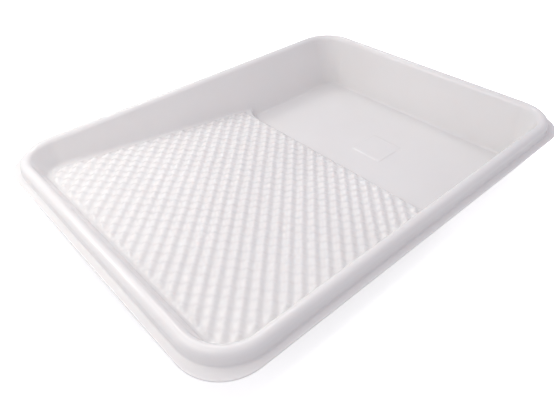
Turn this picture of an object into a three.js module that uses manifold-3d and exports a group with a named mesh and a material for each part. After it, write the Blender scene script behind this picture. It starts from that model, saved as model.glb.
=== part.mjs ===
// Paint roller tray, moulded in one piece from thin white plastic.
// Millimetres, +Z up.  Origin: centre of the tray's outline at table level.
// +X points to the deep end (the paint well), +Y to one long side.
import * as THREE from 'three';
import { ParametricGeometry } from 'three/addons/geometries/ParametricGeometry.js';
import { mergeVertices } from 'three/addons/utils/BufferGeometryUtils.js';
import Module from 'manifold-3d';

// ---- driving dimensions -------------------------------------------------
const LENGTH = 380;          // outside of the rim flange, along X
const WIDTH = 288;           // outside of the rim flange, along Y
const HEIGHT = 54.6;         // table to the top of the rim bead
const WALL = 1.6;            // moulded wall thickness
const RIM_DROP = 10.2;       // bead top down to the flat flange
const FLANGE_R = 32;         // plan radius of the flange's corners
const BEAD_BASE = 4.46;      // flat flange width, to the foot of the bead
const BEAD_C = 9.7;          // bead centre line, in from the flange edge
const BEAD_R = 4.6;          // bead section radius
const CORNER_C = 39.5;       // plan radius of a bead ring is CORNER_C minus its inset
const WELL_DEPTH = 53.0;     // bead top down to the well floor
const SIDE_SLOPE = 0.267;    // inward run per mm of depth, long sides
const DEEP_SLOPE = 0.0776;   // the same, wall at the deep end
const SHALLOW_SLOPE = 0.52;  // the same, wall at the shallow end
const WELL_CORNER_R = 14;    // plan radius of the well's corners at the floor
const RAMP_X0 = -151, RAMP_Z0 = 34.1, RAMP_FALL = 0.118;   // the rolling ramp's plane
const EDGE_X = 40.2;         // where the ramp ends
const STEP = [[42.2, 9.6], [46.2, 3.0], [48.6, 1.6]];      // drop from the ramp to the floor
const BOW_Y = 96, BOW_R = 30;  // near the side walls the ramp's edge curves towards the well
const STEP_UNDER = [[38.4, 10.14], [40.6, 9.1], [44.8, 2.2], [47.6, 0.0]];
const BUMP_X0 = -163.7, BUMP_DX = 6.25, BUMP_NX = 33;      // bump columns
const BUMP_DY = 6.35, BUMP_NY = 18;                        // bump rows each side of the middle
const BUMP_H = 1.8;          // bump height over the ramp plane
const FOOT_X = -163, FOOT_LEN = 27, FOOT_W = 42, FOOT_WALL = 2.2, FOOT_Y = 80;

const WELL_FLOOR_Z = HEIGHT - WELL_DEPTH;                  // 1.6
const FLANGE_Z = HEIGHT - RIM_DROP;                        // 44.4
const BEAD_Z = HEIGHT - BEAD_R;                            // 50.0
const rampZ = (x) => RAMP_Z0 - RAMP_FALL * (x - RAMP_X0);
const edgeBow = (y) => {
  const s = Math.min(Math.max(Math.abs(y) - BOW_Y, 0), 25.5);
  return BOW_R - Math.sqrt(BOW_R * BOW_R - s * s);
};

// ---- solids -------------------------------------------------------------
const wasm = await Module();
wasm.setup();

function solid(geometry) {
  const g = geometry.clone();
  g.deleteAttribute('normal');
  g.deleteAttribute('uv');
  const m = mergeVertices(g, 1e-5);
  return new wasm.Manifold(new wasm.Mesh({
    numProp: 3,
    vertProperties: new Float32Array(m.attributes.position.array),
    triVerts: new Uint32Array(m.index.array),
  }));
}

// A ring of material round the tray.  Each section entry is one closed
// rounded rectangle {x0, x1, y, r, z}; the last joins back to the first.
const CORNER_SEGS = 8;
function ringPoint(s, k) {
  const corner = Math.floor(k / (CORNER_SEGS + 1)) % 4;
  const a = (corner + (k % (CORNER_SEGS + 1)) / CORNER_SEGS) * Math.PI / 2;
  const cx = corner === 0 || corner === 3 ? s.x1 - s.r : s.x0 + s.r;
  const cy = corner < 2 ? s.y - s.r : -s.y + s.r;
  return [cx + s.r * Math.cos(a), cy + s.r * Math.sin(a), s.z];
}
function ringSolid(sections) {
  const around = 4 * (CORNER_SEGS + 1);
  const n = sections.length;
  const g = new ParametricGeometry((u, v, target) => {
    const k = Math.round(u * around) % around;
    const j = Math.round(v * n) % n;
    target.set(...ringPoint(sections[j], k));
  }, around, n);
  return solid(g);
}
const inset = (d, z, r) => ({ x0: -LENGTH / 2 + d, x1: LENGTH / 2 - d, y: WIDTH / 2 - d, r, z });

// Ring at height z on the inside wall; grow moves it out through the wall.
const TOP_D = BEAD_C + BEAD_R * Math.cos(Math.PI / 12);
const TOP_Z = BEAD_Z + BEAD_R * Math.sin(Math.PI / 12);
function wallRing(z, grow) {
  const depth = TOP_Z - z;
  const run = (slope) => slope * depth - grow * Math.sqrt(1 + slope * slope);
  const f = depth / (TOP_Z - WELL_FLOOR_Z);
  const r = (CORNER_C - TOP_D) * (1 - f) + WELL_CORNER_R * f;
  return {
    x0: -(LENGTH / 2 - TOP_D) + run(SHALLOW_SLOPE),
    x1: LENGTH / 2 - TOP_D - run(DEEP_SLOPE),
    y: WIDTH / 2 - TOP_D - run(SIDE_SLOPE),
    r: r + grow, z,
  };
}
function beadArc(radius, degrees) {
  return degrees.map((a) => {
    const t = a * Math.PI / 180;
    const d = BEAD_C + radius * Math.cos(t);
    return inset(d, BEAD_Z + radius * Math.sin(t), CORNER_C - d);
  });
}

// A block whose top follows a height function on its own grid lines.
function reliefBlock(xs, ys, base, height, isPeak) {
  const g = new THREE.BoxGeometry(2, 2, 2, xs.length - 1, ys.length - 1, 1);
  const p = g.attributes.position;
  for (let i = 0; i < p.count; i++) {
    const ix = Math.round((p.getX(i) + 1) / 2 * (xs.length - 1));
    const iy = Math.round((p.getY(i) + 1) / 2 * (ys.length - 1));
    const top = p.getZ(i) > 0;
    const x = xs[ix] > 37 && xs[ix] < 60 ? xs[ix] + edgeBow(ys[iy]) : xs[ix];
    p.setXYZ(i, x, ys[iy], top ? height(xs[ix], ys[iy], x) : base);
  }
  if (isPeak) {                      // each bump keeps its own four facets
    const idx = g.index;
    for (let t = 0; t + 5 < idx.count; t += 6) {
      const [a, b, d, , c] = [0, 1, 2, 3, 4].map((k) => idx.getX(t + k));
      if (isPeak(p.getX(b), p.getY(b), p.getZ(b)) && isPeak(p.getX(d), p.getY(d), p.getZ(d))) {
        [a, b, c, a, c, d].forEach((value, k) => idx.setX(t + k, value));
      }
    }
  }
  return solid(g);
}

// Everything below the tray's upper surface.
const upperRing = ringSolid([
  inset(0, -10, FLANGE_R),
  inset(0, FLANGE_Z, FLANGE_R),
  inset(BEAD_BASE - 0.5, FLANGE_Z, CORNER_C - BEAD_BASE + 0.3),
  inset(BEAD_BASE + 0.35, FLANGE_Z + 0.8, CORNER_C - BEAD_BASE - 0.35),
  ...beadArc(BEAD_R, [180, 157, 134, 112, 90, 68, 42, 15]),
  wallRing(-10, 0),
]);
const bumpXs = Array.from({ length: BUMP_NX }, (_, i) => BUMP_X0 + BUMP_DX * i);
const bumpYs = Array.from({ length: 2 * BUMP_NY + 1 }, (_, j) => BUMP_DY * (j - BUMP_NY));
const upperXs = [-181, BUMP_X0 - 3.5, ...bumpXs, EDGE_X, ...STEP.map((s) => s[0]), 181];
const upperYs = [-136, -122, -118.3, ...bumpYs, 118.3, 122, 136];
const stepZ = new Map(STEP);
const bump = (x, y) => {
  const i = Math.round((x - BUMP_X0) / BUMP_DX), j = Math.round(y / BUMP_DY);
  if (Math.abs(BUMP_X0 + BUMP_DX * i - x) > 0.01 || i < 0 || i >= BUMP_NX) return 0;
  if (Math.abs(BUMP_DY * j - y) > 0.01 || Math.abs(j) > BUMP_NY) return 0;
  return (i + j) % 2 === 0 ? BUMP_H : 0;
};
const upperFloor = reliefBlock(upperXs, upperYs, -10,
  (x, y, at) => (stepZ.has(x) ? stepZ.get(x) : x > 100 ? WELL_FLOOR_Z : rampZ(at) + bump(x, y)),
  (x, y, z) => z > 2 && bump(x, y) > 0);
const upper = upperRing.add(upperFloor);

// Everything below the tray's underside.
const underRing = ringSolid([
  inset(-6, -20, FLANGE_R + 6),
  inset(-6, FLANGE_Z - WALL, FLANGE_R + 6),
  inset(BEAD_BASE + 1.4, FLANGE_Z - WALL, CORNER_C - BEAD_BASE - 1.4),
  inset(BEAD_BASE + 1.95, FLANGE_Z - WALL + 0.9, CORNER_C - BEAD_BASE - 1.95),
  ...beadArc(BEAD_R - WALL, [180, 150, 120, 90, 60, 36, 15]),
  wallRing(-20, WALL),
]);
const underZ = new Map(STEP_UNDER);
const underDrop = WALL * Math.sqrt(1 + RAMP_FALL * RAMP_FALL);
const underYs = [96, 101.6, 107.95, 114.3, 118.3, 122, 133];
const underFloor = reliefBlock([-178, ...STEP_UNDER.map((s) => s[0]), 178],
  [...underYs.map((y) => -y).reverse(), ...underYs], -20,
  (x, y, at) => (x > 100 ? 0 : Math.min(underZ.has(x) ? underZ.get(x) : 99, rampZ(at) - underDrop)));
const under = underRing.add(underFloor);

// Two hollow feet moulded under the shallow end, open towards the well.
function foot(side) {
  const h = FOOT_W / 2, w = FOOT_WALL, l = FOOT_LEN, c = 4;
  const s = new THREE.Shape();
  s.moveTo(l, -h); s.lineTo(l, -h + w); s.lineTo(c * 0.8, -h + w); s.lineTo(w, -h + c);
  s.lineTo(w, h - c); s.lineTo(c * 0.8, h - w); s.lineTo(l, h - w); s.lineTo(l, h);
  s.lineTo(c * 0.6, h); s.lineTo(0, h - c * 0.8); s.lineTo(0, -h + c * 0.8); s.lineTo(c * 0.6, -h);
  s.closePath();
  const g = new THREE.ExtrudeGeometry(s, { depth: 1, bevelEnabled: false });
  const p = g.attributes.position;
  for (let i = 0; i < p.count; i++) {
    const x = FOOT_X + p.getX(i), y = side * FOOT_Y + p.getY(i);
    p.setXYZ(i, x, y, p.getZ(i) > 0.5 ? rampZ(x) - WALL / 2 : 0);
  }
  return solid(g);
}

const shell = upper.subtract(under).add(foot(1)).add(foot(-1));

// ---- scene --------------------------------------------------------------
function geometryOf(manifold) {
  const m = manifold.getMesh();
  const g = new THREE.BufferGeometry();
  g.setAttribute('position', new THREE.BufferAttribute(new Float32Array(m.vertProperties), 3));
  g.setIndex(new THREE.BufferAttribute(new Uint32Array(m.triVerts), 1));
  g.computeVertexNormals();
  return g;
}

const tray = new THREE.Mesh(
  geometryOf(shell),
  new THREE.MeshStandardMaterial({ color: 0xf2f1ee, roughness: 0.32, metalness: 0 }),
);
tray.name = 'tray_shell';

const rollerTray = new THREE.Group();
rollerTray.add(tray);
export default rollerTray;
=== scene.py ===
import math
import bpy
import numpy as np
from mathutils import Matrix, Vector
from mathutils.geometry import delaunay_2d_cdt


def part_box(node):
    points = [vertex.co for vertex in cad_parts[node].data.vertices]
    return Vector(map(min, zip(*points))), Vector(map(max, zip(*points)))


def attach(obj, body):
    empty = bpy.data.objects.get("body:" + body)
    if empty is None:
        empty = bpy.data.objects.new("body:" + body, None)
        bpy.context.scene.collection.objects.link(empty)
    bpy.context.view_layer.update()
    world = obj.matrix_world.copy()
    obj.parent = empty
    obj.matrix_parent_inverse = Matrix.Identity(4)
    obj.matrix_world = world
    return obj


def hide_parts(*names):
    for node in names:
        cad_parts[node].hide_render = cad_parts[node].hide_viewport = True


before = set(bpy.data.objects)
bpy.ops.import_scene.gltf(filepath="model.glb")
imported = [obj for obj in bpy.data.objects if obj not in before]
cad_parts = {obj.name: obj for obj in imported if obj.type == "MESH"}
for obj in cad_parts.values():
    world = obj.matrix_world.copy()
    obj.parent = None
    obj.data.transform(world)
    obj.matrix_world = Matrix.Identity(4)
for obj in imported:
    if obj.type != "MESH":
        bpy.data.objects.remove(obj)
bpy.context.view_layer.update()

# ---------------------------------------------------------------------------
# Paint roller tray: one moulded shell.  Working units below are millimetres in
# the CAD frame; the mesh is scaled to metres when it is made.
# ---------------------------------------------------------------------------
lo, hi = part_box("tray_shell")
LENGTH, WIDTH, HEIGHT = ((hi[i] - lo[i]) * 1000 for i in range(3))
WALL = 1.6
RIM_DROP, FLANGE_R, BEAD_BASE = 10.2, 32.0, 4.46
BEAD_C, BEAD_R, CORNER_C = 9.7, 4.6, 39.5
WELL_DEPTH = 53.0
SIDE_SLOPE, DEEP_SLOPE, SHALLOW_SLOPE = 0.267, 0.0776, 0.52
WELL_CORNER_R = 14.0
RAMP_X0, RAMP_Z0, RAMP_FALL = -151.0, 34.1, 0.118
BUMP_X0, BUMP_DX, BUMP_NX = -163.7, 6.25, 33
BUMP_DY, BUMP_NY = 6.35, 18
BUMP_H = 2.1
STRING = 0.66
FOOT_X, FOOT_LEN, FOOT_W, FOOT_WALL, FOOT_Y = -163.0, 27.0, 42.0, 2.2, 80.0

FLOOR_Z = HEIGHT - WELL_DEPTH
FLANGE_Z = HEIGHT - RIM_DROP
BEAD_Z = HEIGHT - BEAD_R
TOP_D = BEAD_C + BEAD_R * math.cos(math.pi / 12)
TOP_Z = BEAD_Z + BEAD_R * math.sin(math.pi / 12)


def smooth(a, b, v):
    t = np.clip((v - a) / (b - a), 0, 1)
    return t * t * (3 - 2 * t)


# ---- the ramp, the drop and the well floor as one height function ----------
def rounded(points, radii, n):
    """The polyline with its inner corners replaced by arcs."""
    out = [np.array(points[0], float)]
    for k in range(1, len(points) - 1):
        a, b, c = (np.array(points[k + i], float) for i in (-1, 0, 1))
        u, v = (a - b) / np.linalg.norm(a - b), (c - b) / np.linalg.norm(c - b)
        half = math.acos(float(np.clip(u @ v, -1, 1))) / 2
        leg = radii[k - 1] / math.tan(half)
        centre = b + (u + v) / np.linalg.norm(u + v) * radii[k - 1] / math.sin(half)
        p, q = b + u * leg - centre, b + v * leg - centre
        turn = math.pi - 2 * half
        for i in range(n + 1):
            t = i / n
            out.append(centre + (math.sin((1 - t) * turn) * p + math.sin(t * turn) * q) / math.sin(turn))
    out.append(np.array(points[-1], float))
    return np.array(out)


ramp = lambda x: RAMP_Z0 - RAMP_FALL * (x - RAMP_X0)
TOP_EDGE, FOOT_EDGE = 41.4, 47.0
PROFILE = rounded([(-250, ramp(-250)), (TOP_EDGE, ramp(TOP_EDGE)), (FOOT_EDGE, FLOOR_Z), (400, FLOOR_Z)], [2.4, 3.4], 14)
UNDER = rounded([(-250, ramp(-250) - WALL * 1.007), (39.6, ramp(39.6) - WALL * 1.007), (46.0, 0.0), (400, 0.0)], [1.2, 4.6], 10)


def edge_bow(y):
    """How far the ramp's edge runs towards the well close to the side walls."""
    s = np.clip(np.abs(y) - 96.0, 0, 25.5)
    return 30.0 - np.sqrt(30.0 ** 2 - s * s)


def along(profile, foot, x, y):
    """Height on a ramp-and-drop profile whose edge follows edge_bow, while the ramp itself stays one plane."""
    bow = edge_bow(np.asarray(y, float))
    z = np.interp(np.asarray(x, float) - bow, profile[:, 0], profile[:, 1])
    return z - RAMP_FALL * bow * np.clip((z - foot) / (ramp(TOP_EDGE) - WALL - FLOOR_Z), 0, 1)


def base_z(x, y):
    return along(PROFILE, FLOOR_Z, x, y)


def under_z(x, y):
    return along(UNDER, 0.0, x, y)


# ---- stations round the tray ----------------------------------------------
CORNER_SEGS = 22


def wall_ring(z, grow):
    depth = TOP_Z - z
    run = lambda s: s * depth - grow * math.sqrt(1 + s * s)
    f = depth / (TOP_Z - FLOOR_Z)
    r = (CORNER_C - TOP_D) * (1 - f) + WELL_CORNER_R * f
    return (-(LENGTH / 2 - TOP_D) + run(SHALLOW_SLOPE), LENGTH / 2 - TOP_D - run(DEEP_SLOPE),
            WIDTH / 2 - TOP_D - run(SIDE_SLOPE), r + grow)


X0F, X1F, YF, RF = wall_ring(FLOOR_Z, 0)
xs = list(np.arange(X0F + RF, 34, 4.6)) + list(np.arange(35, 68, 0.85)) + list(np.linspace(71, X1F - RF, 20))
side_t = (np.array(xs) - xs[0]) / (xs[-1] - xs[0])
end_t = np.linspace(0, 1, 50)
STATIONS = []                                    # (segment, parameter, share of each wall's slope)
for t in end_t[:-1]:
    STATIONS.append(("E", t))
for k in range(CORNER_SEGS):
    STATIONS.append(("EN", k / CORNER_SEGS))
for t in side_t[::-1][:-1]:
    STATIONS.append(("N", t))
for k in range(CORNER_SEGS):
    STATIONS.append(("NW", k / CORNER_SEGS))
for t in end_t[::-1][:-1]:
    STATIONS.append(("W", t))
for k in range(CORNER_SEGS):
    STATIONS.append(("WS", k / CORNER_SEGS))
for t in side_t[:-1]:
    STATIONS.append(("S", t))
for k in range(CORNER_SEGS):
    STATIONS.append(("SE", k / CORNER_SEGS))
NS = len(STATIONS)
SLOPE_OF = {"E": DEEP_SLOPE, "N": SIDE_SLOPE, "W": SHALLOW_SLOPE, "S": SIDE_SLOPE}


def station_slopes():
    out = []
    for seg, t in STATIONS:
        if len(seg) == 1:
            out.append(SLOPE_OF[seg])
        else:
            k = t * t * (3 - 2 * t)
            out.append(SLOPE_OF[seg[0]] * (1 - k) + SLOPE_OF[seg[1]] * k)
    return np.array(out)


ALPHA = np.arctan(station_slopes())
START = {"EN": 0, "NW": 90, "WS": 180, "SE": 270}


def station_points(x0, x1, y, r):
    """Plan points of every station on a rounded rectangle; the arguments may be one value a station."""
    x0, x1, y, r = (np.broadcast_to(np.asarray(v, float), (NS,)) for v in (x0, x1, y, r))
    p = np.zeros((NS, 2))
    for k, (seg, t) in enumerate(STATIONS):
        a, b, c, q = x0[k], x1[k], y[k], r[k]
        if seg == "E":
            p[k] = (b, (c - q) * (2 * t - 1))
        elif seg == "W":
            p[k] = (a, (c - q) * (2 * t - 1))
        elif seg in "NS":
            p[k] = (a + q + (b - a - 2 * q) * t, c if seg == "N" else -c)
        else:
            ang = math.radians(START[seg] + 90 * t)
            cx = b - q if seg in ("EN", "SE") else a + q
            cy = c - q if seg in ("EN", "NW") else q - c
            p[k] = (cx + q * math.cos(ang), cy + q * math.sin(ang))
    return p


def normals_in():
    out = np.zeros((NS, 2))
    for k, (seg, t) in enumerate(STATIONS):
        ang = {"E": 0, "N": 90, "W": 180, "S": 270}.get(seg)
        ang = math.radians(START[seg] + 90 * t if ang is None else ang)
        out[k] = (-math.cos(ang), -math.sin(ang))
    return out


N_IN = normals_in()


def row(d, z, r):
    d, z = np.broadcast_to(d, (NS,)), np.broadcast_to(z, (NS,))
    p = station_points(-LENGTH / 2 + d, LENGTH / 2 - d, WIDTH / 2 - d, r)
    return np.column_stack([p, z])


def flange_r(d):
    return np.interp(d, [0, BEAD_BASE - 0.5, BEAD_BASE + 0.4, 30], [FLANGE_R, CORNER_C - BEAD_BASE + 0.3, CORNER_C - BEAD_BASE - 0.4, CORNER_C - 30])


def wall_rows(top, bottom, surface, radius, wall_steps, arc_steps):
    """Rows down the wall from top, round the fillet and onto the surface; the last row is the fillet's inner edge."""
    down = bottom - top
    lo_t, hi_t = np.zeros(NS), np.ones(NS) * 1.25
    for _ in range(44):
        m = (lo_t + hi_t) / 2
        p = top + down * m[:, None]
        below = p[:, 2] < surface(p[:, 0], p[:, 1])
        hi_t, lo_t = np.where(below, m, hi_t), np.where(below, lo_t, m)
    junction = top + down * hi_t[:, None]
    up = top - junction
    up /= np.linalg.norm(up, axis=1)[:, None]
    e = 0.5
    ahead = surface(junction[:, 0] + e * N_IN[:, 0], junction[:, 1] + e * N_IN[:, 1])
    here = surface(junction[:, 0], junction[:, 1])
    inward = np.column_stack([N_IN * e, ahead - here])
    inward /= np.linalg.norm(inward, axis=1)[:, None]
    half = np.arccos(np.clip((up * inward).sum(1), -1, 1)) / 2
    leg = radius / np.tan(half)
    start, end = junction + up * leg[:, None], junction + inward * leg[:, None]
    end[:, 2] = surface(end[:, 0], end[:, 1])
    w = np.sin(half)                              # an exact arc as a conic
    rows = []
    for t in wall_steps:
        rows.append(top + (start - top) * t)
    for i in range(arc_steps + 1):
        t = i / arc_steps
        a, b, c = (1 - t) ** 2, 2 * t * (1 - t) * w, t * t
        rows.append((a * start + b[:, None] * junction + c * end) / (a + b + c)[:, None])
    return rows


# ---- upper surface rows, from the flange edge inwards -----------------------
upper = [row(0.0, FLANGE_Z - 0.8, FLANGE_R)]
for d, z in ((0.0, -0.42), (0.12, -0.13), (0.42, 0.0), (0.9, 0.0), (2.2, 0.0), (3.3, 0.0), (3.75, 0.02), (4.15, 0.12), (4.48, 0.33),
             (4.7, 0.64), (4.8, 1.05), (4.86, 1.7), (4.93, 3.0), (5.03, 4.4)):
    upper.append(row(d, FLANGE_Z + z, flange_r(d)))
for k in range(17):
    ang = math.pi + (ALPHA - math.pi) * k / 16
    d = BEAD_C + BEAD_R * np.cos(ang)
    upper.append(row(d, BEAD_Z + BEAD_R * np.sin(ang), CORNER_C - d))
top = upper[-1]
bottom = np.column_stack([station_points(X0F, X1F, YF, RF), np.full(NS, FLOOR_Z)])
fillet = np.array([{"E": 2.7, "W": 3.4}.get(s[0], 3.2) for s, _ in STATIONS])
for _ in range(14):
    fillet = (np.roll(fillet, 1) + fillet + np.roll(fillet, -1)) / 3
upper += wall_rows(top, bottom, base_z, fillet, (0.06, 0.3, 0.62, 0.9), 8)

# ---- underside rows, from the flange edge inwards ---------------------------
under = []
for d, z in ((0.0, -1.2), (0.12, -1.48), (0.42, -WALL), (1.2, -WALL), (3.4, -WALL), (BEAD_BASE + 1.0, -WALL)):
    under.append(row(d, FLANGE_Z + z, flange_r(d)))
for d, z in ((1.45, -WALL + 0.16), (1.78, -WALL + 0.55), (1.92, -WALL + 1.1), (2.05, 2.4)):
    under.append(row(BEAD_BASE + d, FLANGE_Z + z, CORNER_C - BEAD_BASE - d))
for k in range(9):
    ang = math.pi + (ALPHA - math.pi) * k / 8
    d = BEAD_C + (BEAD_R - WALL) * np.cos(ang)
    under.append(row(d, BEAD_Z + (BEAD_R - WALL) * np.sin(ang), CORNER_C - d))
U = wall_ring(0.0, WALL)
ubottom = np.column_stack([station_points(*U), np.zeros(NS)])
under += wall_rows(under[-1], ubottom, under_z, fillet + WALL, (0.08, 0.5, 0.9), 5)


# ---- bumps --------------------------------------------------------------------
def bumps(x, y, clear):
    # a square lattice, with the bumps of each diagonal row run together like beads on a string
    a, b = math.pi * (x - BUMP_X0) / BUMP_DX, math.pi * y / BUMP_DY
    f = STRING * np.cos(a - b) + (1 - STRING) * np.cos(a + b)
    g = ((1 + f) / 2) ** 1.2
    last = BUMP_X0 + BUMP_DX * (BUMP_NX - 1)
    side = BUMP_DY * BUMP_NY
    keep = smooth(BUMP_X0 - 4.4, BUMP_X0 - 0.8, x) * (1 - smooth(last + 1.0, last + 4.6, x))
    keep = keep * (1 - smooth(side + 0.8, side + 4.6, np.abs(y))) * smooth(0.1, 2.8, clear)
    return BUMP_H * g * keep


MARK = (81.6, 114.4, -30.2, 2.6)                 # plain raised square on the well floor


def floor_mark(x, y):
    e = 0.35
    inside = smooth(MARK[0] - e, MARK[0] + e, x) * (1 - smooth(MARK[1] - e, MARK[1] + e, x))
    inside = inside * smooth(MARK[2] - e, MARK[2] + e, y) * (1 - smooth(MARK[3] - e, MARK[3] + e, y))
    return 0.22 * inside


# ---- interior of the upper surface ---------------------------------------------
def inside_poly(px, py, poly):
    inside = np.zeros(px.shape, bool)
    n = len(poly)
    for k in range(n):
        ax, ay = poly[k]
        bx, by = poly[(k + 1) % n]
        if ay == by:
            continue
        hit = ((ay > py) != (by > py)) & (px < (bx - ax) * (py - ay) / (by - ay) + ax)
        inside ^= hit
    return inside


def distance_to(px, py, poly):
    best = np.full(px.shape, 1e9)
    n = len(poly)
    for k in range(n):
        a, b = poly[k], poly[(k + 1) % n]
        d = b - a
        t = np.clip(((px - a[0]) * d[0] + (py - a[1]) * d[1]) / (d @ d), 0, 1)
        best = np.minimum(best, (px - a[0] - t * d[0]) ** 2 + (py - a[1] - t * d[1]) ** 2)
    return np.sqrt(best)


SUB = 6
gx = [BUMP_X0 + BUMP_DX / SUB * k for k in range(-4, SUB * (BUMP_NX - 1) + 4)]
gx += list(np.arange(gx[-1] + 0.72, 51.6, 0.72))
v, step = gx[-1], 0.95
while v < 170:
    step = min(step * 1.14, 3.4)
    v += step
    gx.append(v)
for e in MARK[:2]:
    gx = [g for g in gx if abs(g - e) > 0.9] + [e - 0.4, e - 0.13, e + 0.13, e + 0.4]
gx = np.array(sorted(gx))
gy = [BUMP_DY / SUB * k for k in range(-SUB * BUMP_NY - 6, SUB * BUMP_NY + 7)]
for e in MARK[2:]:
    gy = [g for g in gy if abs(g - e) > 0.45] + [e - 0.36, e - 0.12, e + 0.12, e + 0.36]
gy = np.array(sorted(gy))
GX, GY = np.meshgrid(gx, gy, indexing="ij")
GX = GX + edge_bow(GY) * smooth(24, 39, GX) * (1 - smooth(52, 110, GX))

contour = upper[-1][:, :2].copy()
dist = distance_to(GX, GY, contour)
ok = inside_poly(GX, GY, contour) & (dist > 0.42)
cell = ok[:-1, :-1] & ok[1:, :-1] & ok[:-1, 1:] & ok[1:, 1:]
GZ = base_z(GX, GY) + bumps(GX, GY, dist) + floor_mark(GX, GY)

verts, faces = [], []


def add_rows(rows, flip):
    """Quad strips between closed rows; returns the vertex numbers of each row."""
    ids = []
    for r in rows:
        start = len(verts)
        verts.extend(map(tuple, r))
        ids.append(list(range(start, start + NS)))
    for a, b in zip(ids[:-1], ids[1:]):
        bridge(a, b, flip)
    return ids


def bridge(a, b, flip):
    n = len(a)
    for k in range(n):
        q = (a[k], a[(k + 1) % n], b[(k + 1) % n], b[k])
        faces.append(q[::-1] if flip else q)


def loops_of(edges):
    """Closed loops from directed boundary edges, each vertex used once."""
    nxt = dict(edges)
    out = []
    while nxt:
        a, b = nxt.popitem()
        loop = [a]
        while b != a:
            loop.append(b)
            b = nxt.pop(b)
        out.append(loop)
    return out


up_ids = add_rows(upper, False)
outer = up_ids[-1]

# drop cells that touch the rest at one corner only, so that the boundary is one clean loop
changed = True
while changed:
    changed = False
    c = np.zeros((len(gx) + 1, len(gy) + 1), bool)
    c[1:-1, 1:-1] = cell
    diag = (c[:-1, :-1] & c[1:, 1:] & ~c[1:, :-1] & ~c[:-1, 1:]) | (~c[:-1, :-1] & ~c[1:, 1:] & c[1:, :-1] & c[:-1, 1:])
    for i, j in zip(*np.nonzero(diag)):
        for a in (i - 1, i):
            for b in (j - 1, j):
                if 0 <= a < cell.shape[0] and 0 <= b < cell.shape[1]:
                    cell[a, b] = False
        changed = True

used = np.zeros(GX.shape, bool)
used[:-1, :-1] |= cell; used[1:, :-1] |= cell; used[:-1, 1:] |= cell; used[1:, 1:] |= cell
number = np.full(GX.shape, -1)
number[used] = np.arange(used.sum()) + len(verts)
verts.extend(zip(GX[used].tolist(), GY[used].tolist(), GZ[used].tolist()))
I, J = np.nonzero(cell)
quads = np.column_stack([number[I, J], number[I + 1, J], number[I + 1, J + 1], number[I, J + 1]])
faces.extend(map(tuple, quads.tolist()))
edge_set = set()
for a, b, c_, d in quads.tolist():
    for e in ((a, b), (b, c_), (c_, d), (d, a)):
        if (e[1], e[0]) in edge_set:
            edge_set.discard((e[1], e[0]))
        else:
            edge_set.add(e)
inner_loops = loops_of(edge_set)


def fill_between(outline, holes, extra, zfun, flip):
    """Triangles between an outline and its holes, through the extra points; all given as vertex numbers."""
    ids = list(outline)
    for h in holes:
        ids += h
    ids += extra
    pts = [Vector(verts[i][:2]) for i in ids]
    edges, s = [], 0
    for loop in [outline] + holes:
        n = len(loop)
        edges += [(s + k, s + (k + 1) % n) for k in range(n)]
        s += n
    out = delaunay_2d_cdt(pts, edges, [], 0, 1e-7)
    new_v, new_f, orig = out[0], out[2], out[3]
    back = [o[0] if o else -1 for o in orig]
    tri = np.array([f for f in new_f])
    xy = np.array([v[:] for v in new_v])
    mid = xy[tri].mean(1)
    keep = inside_poly(mid[:, 0], mid[:, 1], np.array([verts[i][:2] for i in outline]))
    for h in holes:
        keep &= ~inside_poly(mid[:, 0], mid[:, 1], np.array([verts[i][:2] for i in h]))
    # flat slivers along a straight run of the outline aren't faces
    e1, e2 = xy[tri[:, 1]] - xy[tri[:, 0]], xy[tri[:, 2]] - xy[tri[:, 0]]
    area = np.abs(e1[:, 0] * e2[:, 1] - e1[:, 1] * e2[:, 0]) / 2
    on_outline = np.array([all(0 <= back[k] < len(outline) for k in f) for f in tri])
    keep &= ~(on_outline & (area < 1e-3))
    fresh = {}
    for t in tri[keep]:
        f = []
        for k in t:
            if back[k] >= 0:
                f.append(ids[back[k]])
            else:
                if k not in fresh:
                    fresh[k] = len(verts)
                    verts.append((xy[k][0], xy[k][1], float(zfun(xy[k][0], xy[k][1]))))
                f.append(fresh[k])
        a, b, c3 = (np.array(verts[i][:2]) for i in f)
        ccw = (b[0] - a[0]) * (c3[1] - a[1]) - (b[1] - a[1]) * (c3[0] - a[0]) > 0
        faces.append(tuple(f if ccw != flip else f[::-1]))


fill_between(outer, inner_loops, [], base_z, False)

# ---- underside ------------------------------------------------------------------
un_ids = add_rows(under, True)
bridge(up_ids[0], un_ids[0], True)
ucontour = under[-1][:, :2]


def foot_outline(side, inset):
    """One hollow foot, open towards the well, as a plan loop."""
    h, w, l = FOOT_W / 2 - inset, FOOT_WALL - 2 * inset, FOOT_LEN - inset
    c, ci, n = 5.0 - inset, 5.0 - FOOT_WALL + inset, 6
    x0 = inset
    pts = []

    def arc(cx, cy, r, a0, a1):
        for k in range(n + 1):
            a = math.radians(a0 + (a1 - a0) * k / n)
            pts.append((cx + r * math.cos(a), cy + r * math.sin(a)))
    r0 = w / 2 * 0.7
    arc(l - r0, -h + r0, r0, -90, 0)
    arc(l - r0, -h + w - r0, r0, 0, 90)
    arc(x0 + w + ci, -h + w + ci, ci, 270, 180)
    arc(x0 + w + ci, h - w - ci, ci, 180, 90)
    arc(l - r0, h - w + r0, r0, -90, 0)
    arc(l - r0, h - r0, r0, 0, 90)
    arc(x0 + c, h - c, c, 90, 180)
    arc(x0 + c, -h + c, c, 180, 270)
    out = []
    for x, y in pts:
        q = (FOOT_X + x, side * FOOT_Y + y)
        if not out or math.hypot(q[0] - out[-1][0], q[1] - out[-1][1]) > 0.02:
            out.append(q)
    return out


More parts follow.
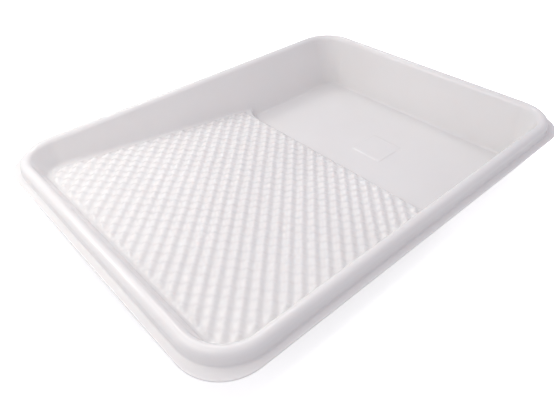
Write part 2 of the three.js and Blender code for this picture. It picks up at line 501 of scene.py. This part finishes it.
holes = []
for side in (1, -1):
    rows_ = []
    # the foot meets the slab with a small flare, and its lower edges are rounded
    for inset, z in ((-0.55, None), (-0.2, -0.5), (0.0, -1.2), (0.03, 0.55), (0.12, 0.22), (0.3, 0.05), (0.5, 0.0)):
        loop = []
        for x, y in foot_outline(side, inset):
            zz = under_z(x, y) if z is None else (under_z(x, y) + z if z < 0 else z)
            loop.append((x, y, float(zz)))
        rows_.append(loop)
    n = min(len(r) for r in rows_)
    assert all(len(r) == n for r in rows_)
    ids = []
    for r in rows_:
        s = len(verts)
        verts.extend(r)
        ids.append(list(range(s, s + n)))
    for a, b in zip(ids[:-1], ids[1:]):
        bridge(a, b, True)
    holes.append(ids[0])
    fill_between(ids[-1], [], [], lambda x, y: 0.0, True)

ux = list(np.arange(-172, 36, 8.0)) + list(np.arange(37.5, 50.5, 0.9)) + list(np.arange(54, 170, 8.0))
uy = np.arange(-124, 125, 4.0)
UX, UY = np.meshgrid(ux, uy, indexing="ij")
UX = (UX + edge_bow(UY) * smooth(20, 37, UX) * (1 - smooth(52, 100, UX))).ravel()
UY = UY.ravel()
good = inside_poly(UX, UY, ucontour) & (distance_to(UX, UY, ucontour) > 1.2)
for h in holes:
    loop = np.array([verts[i][:2] for i in h])
    good &= ~inside_poly(UX, UY, loop) & (distance_to(UX, UY, loop) > 0.8)
start = len(verts)
verts.extend(zip(UX[good].tolist(), UY[good].tolist(), under_z(UX[good], UY[good]).tolist()))
fill_between(un_ids[-1], holes, list(range(start, len(verts))), under_z, True)

mesh = bpy.data.meshes.new("tray_body")
mesh.from_pydata([(x / 1000, y / 1000, z / 1000) for x, y, z in verts], [], faces)
mesh.validate()
mesh.update()
import bmesh
bm = bmesh.new()
bm.from_mesh(mesh)
loose = [v_ for v_ in bm.verts if not v_.link_faces]
bmesh.ops.delete(bm, geom=loose, context="VERTS")
open_edges = sum(1 for e in bm.edges if len(e.link_faces) != 2)
volume = bm.calc_volume(signed=True)
if volume < 0:
    bmesh.ops.reverse_faces(bm, faces=bm.faces)
bm.to_mesh(mesh)
tris = sum(len(f.verts) - 2 for f in bm.faces)
bm.free()
print("tray mesh:", len(mesh.vertices), "vertices,", tris, "triangles, open edges", open_edges, "volume", volume)
mesh.shade_smooth()
mesh.set_sharp_from_angle(angle=math.radians(48))

tray = bpy.data.objects.new("tray_body", mesh)
bpy.context.scene.collection.objects.link(tray)
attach(tray, "root")
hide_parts("tray_shell")


# ---- materials ---------------------------------------------------------------------
def node(tree, kind, **values):
    n = tree.nodes.new(kind)
    for k, val in values.items():
        if k in n.inputs:
            n.inputs[k].default_value = val
        else:
            setattr(n, k, val)
    return n


def plastic():
    m = bpy.data.materials.new("white_plastic")
    m.use_nodes = True
    t = m.node_tree
    t.nodes.clear()
    out = t.nodes.new("ShaderNodeOutputMaterial")
    b = t.nodes.new("ShaderNodeBsdfPrincipled")
    t.links.new(b.outputs[0], out.inputs[0])
    geo = t.nodes.new("ShaderNodeNewGeometry")
    broad = node(t, "ShaderNodeTexNoise", Scale=9.0, Detail=3.0, Roughness=0.5)
    t.links.new(geo.outputs["Position"], broad.inputs["Vector"])
    ramp_ = t.nodes.new("ShaderNodeValToRGB")
    ramp_.color_ramp.elements[0].position = 0.3
    ramp_.color_ramp.elements[0].color = (0.800, 0.790, 0.785, 1)
    ramp_.color_ramp.elements[1].position = 0.72
    ramp_.color_ramp.elements[1].color = (0.835, 0.828, 0.822, 1)
    t.links.new(broad.outputs[0], ramp_.inputs[0])
    t.links.new(ramp_.outputs[0], b.inputs["Base Color"])
    # moulded sheen: patches a little glossier or duller, with a fine grain
    patch = node(t, "ShaderNodeTexNoise", Scale=38.0, Detail=5.0, Roughness=0.6)
    t.links.new(geo.outputs["Position"], patch.inputs["Vector"])
    rough = node(t, "ShaderNodeMapRange")
    rough.inputs["From Min"].default_value = 0.3
    rough.inputs["From Max"].default_value = 0.7
    rough.inputs["To Min"].default_value = 0.17
    rough.inputs["To Max"].default_value = 0.25
    t.links.new(patch.outputs[0], rough.inputs["Value"])
    t.links.new(rough.outputs[0], b.inputs["Roughness"])
    grain = node(t, "ShaderNodeTexNoise", Scale=900.0, Detail=2.0, Roughness=0.5)
    wave = node(t, "ShaderNodeTexNoise", Scale=55.0, Detail=2.0, Roughness=0.4)
    for n in (grain, wave):
        t.links.new(geo.outputs["Position"], n.inputs["Vector"])
    bump1 = node(t, "ShaderNodeBump", Strength=0.2, Distance=0.00001)
    bump2 = node(t, "ShaderNodeBump", Strength=0.3, Distance=0.0001)
    t.links.new(grain.outputs[0], bump1.inputs["Height"])
    t.links.new(wave.outputs[0], bump2.inputs["Height"])
    t.links.new(bump1.outputs[0], bump2.inputs["Normal"])
    t.links.new(bump2.outputs[0], b.inputs["Normal"])
    b.inputs["IOR"].default_value = 1.49
    b.inputs["Subsurface Weight"].default_value = 0.6
    b.inputs["Subsurface Radius"].default_value = (1.0, 0.9, 0.85)
    b.inputs["Subsurface Scale"].default_value = 0.0012
    return m


white = plastic()
tray.data.materials.clear()
tray.data.materials.append(white)
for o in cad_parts.values():
    for s in o.material_slots:
        s.material = white

# ---- stage, light and camera ---------------------------------------------------------
floor_mesh = bpy.data.meshes.new("floor")
S = 6.0
floor_mesh.from_pydata([(-S, -S, -0.0004), (S, -S, -0.0004), (S, S, -0.0004), (-S, S, -0.0004)], [], [(0, 1, 2, 3)])
floor = bpy.data.objects.new("floor", floor_mesh)
bpy.context.scene.collection.objects.link(floor)
fm = bpy.data.materials.new("floor_paper")
fm.use_nodes = True
fb = fm.node_tree.nodes["Principled BSDF"]
fb.inputs["Base Color"].default_value = (0.93, 0.93, 0.93, 1)
fb.inputs["Roughness"].default_value = 0.9
fb.inputs["Specular IOR Level"].default_value = 0.1
# the paper is lit from below as well, which the camera sees but the tray doesn't
ft = fm.node_tree
path = ft.nodes.new("ShaderNodeLightPath")
glow = node(ft, "ShaderNodeMath", operation="MULTIPLY")
glow.inputs[1].default_value = 0.60
ft.links.new(path.outputs["Is Camera Ray"], glow.inputs[0])
fb.inputs["Emission Color"].default_value = (1, 1, 1, 1)
ft.links.new(glow.outputs[0], fb.inputs["Emission Strength"])
# and it throws less light back at the tray than it shows the camera
bounce = node(ft, "ShaderNodeMath", operation="MULTIPLY_ADD")
bounce.inputs[1].default_value = 0.45
bounce.inputs[2].default_value = 0.48
ft.links.new(path.outputs["Is Camera Ray"], bounce.inputs[0])
ft.links.new(bounce.outputs[0], fb.inputs["Base Color"])
floor_mesh.materials.append(fm)

world = bpy.data.worlds.new("studio")
bpy.context.scene.world = world
world.use_nodes = True
WORLD = 0.61
world.node_tree.nodes["Background"].inputs[0].default_value = (1.0, 0.965, 1.05, 1)
world.node_tree.nodes["Background"].inputs[1].default_value = WORLD
# past the edge of the paper the camera sees plain white
wt = world.node_tree
wpath, white = wt.nodes.new("ShaderNodeLightPath"), wt.nodes.new("ShaderNodeBackground")
white.inputs[0].default_value = (1, 1, 1, 1)
wmix = wt.nodes.new("ShaderNodeMixShader")
wt.links.new(wpath.outputs["Is Camera Ray"], wmix.inputs[0])
wt.links.new(wt.nodes["Background"].outputs[0], wmix.inputs[1])
wt.links.new(white.outputs[0], wmix.inputs[2])
wt.links.new(wmix.outputs[0], wt.nodes["World Output"].inputs[0])

TARGET = Vector((0.0, 0.0, 0.03))
on_tray = bpy.data.collections.new("lit_tray")
on_tray.objects.link(tray)
on_floor = bpy.data.collections.new("lit_floor")
on_floor.objects.link(floor)


def softbox(name, azimuth, elevation, distance, size, power, receivers=on_tray, shift=(0, 0), color=(1, 1, 1)):
    """An area light seen from the tray at that compass angle (from +X towards +Y) and height."""
    data = bpy.data.lights.new(name, "AREA")
    data.shape = "DISK"
    data.size = size
    data.energy = power
    data.color = color
    o = bpy.data.objects.new(name, data)
    bpy.context.scene.collection.objects.link(o)
    a, e = math.radians(azimuth), math.radians(elevation)
    d = Vector((math.cos(a) * math.cos(e), math.sin(a) * math.cos(e), math.sin(e)))
    o.location = TARGET + Vector((shift[0], shift[1], 0)) + d * distance
    o.rotation_mode = "QUATERNION"
    o.rotation_quaternion = d.to_track_quat("Z", "Y")
    o.light_linking.receiver_collection = receivers
    return o


WARM, COOL = (1.0, 0.99, 0.925), (1.0, 0.985, 0.99)
softbox("key_left", 190, 60, 0.50, 0.40, 0.72, shift=(-0.15, 0.05), color=WARM)
softbox("key_end", 160, 50, 0.42, 0.30, 0.33, shift=(0.05, 0.10), color=WARM)
softbox("back", 60, 50, 1.20, 0.22, 1.1, color=WARM)
softbox("glint", 128, 38, 0.75, 0.14, 0.45, color=WARM)
softbox("front_fill", 270, 40, 1.6, 1.1, 0.6, color=COOL)
softbox("far_fill", 45, 45, 1.6, 1.1, 0.6, color=COOL)
softbox("paper_top", 0, 89.5, 2.2, 1.6, 52, on_floor)

cam_data = bpy.data.cameras.new("camera")
cam = bpy.data.objects.new("camera", cam_data)
bpy.context.scene.collection.objects.link(cam)
cam_data.sensor_width = 36.0
cam_data.sensor_fit = "HORIZONTAL"
cam_data.lens = 33.414
cam_data.clip_start, cam_data.clip_end = 0.01, 50
cam.matrix_world = Matrix((
    (0.74295034, 0.44045473, -0.50400835, -0.25007152),
    (-0.66890570, 0.46124290, -0.58294095, -0.26620243),
    (-0.02428883, 0.77023024, 0.63730325, 0.27644827),
    (0, 0, 0, 1),
))
bpy.context.scene.camera = cam
bpy.context.scene.view_settings.view_transform = "Standard"
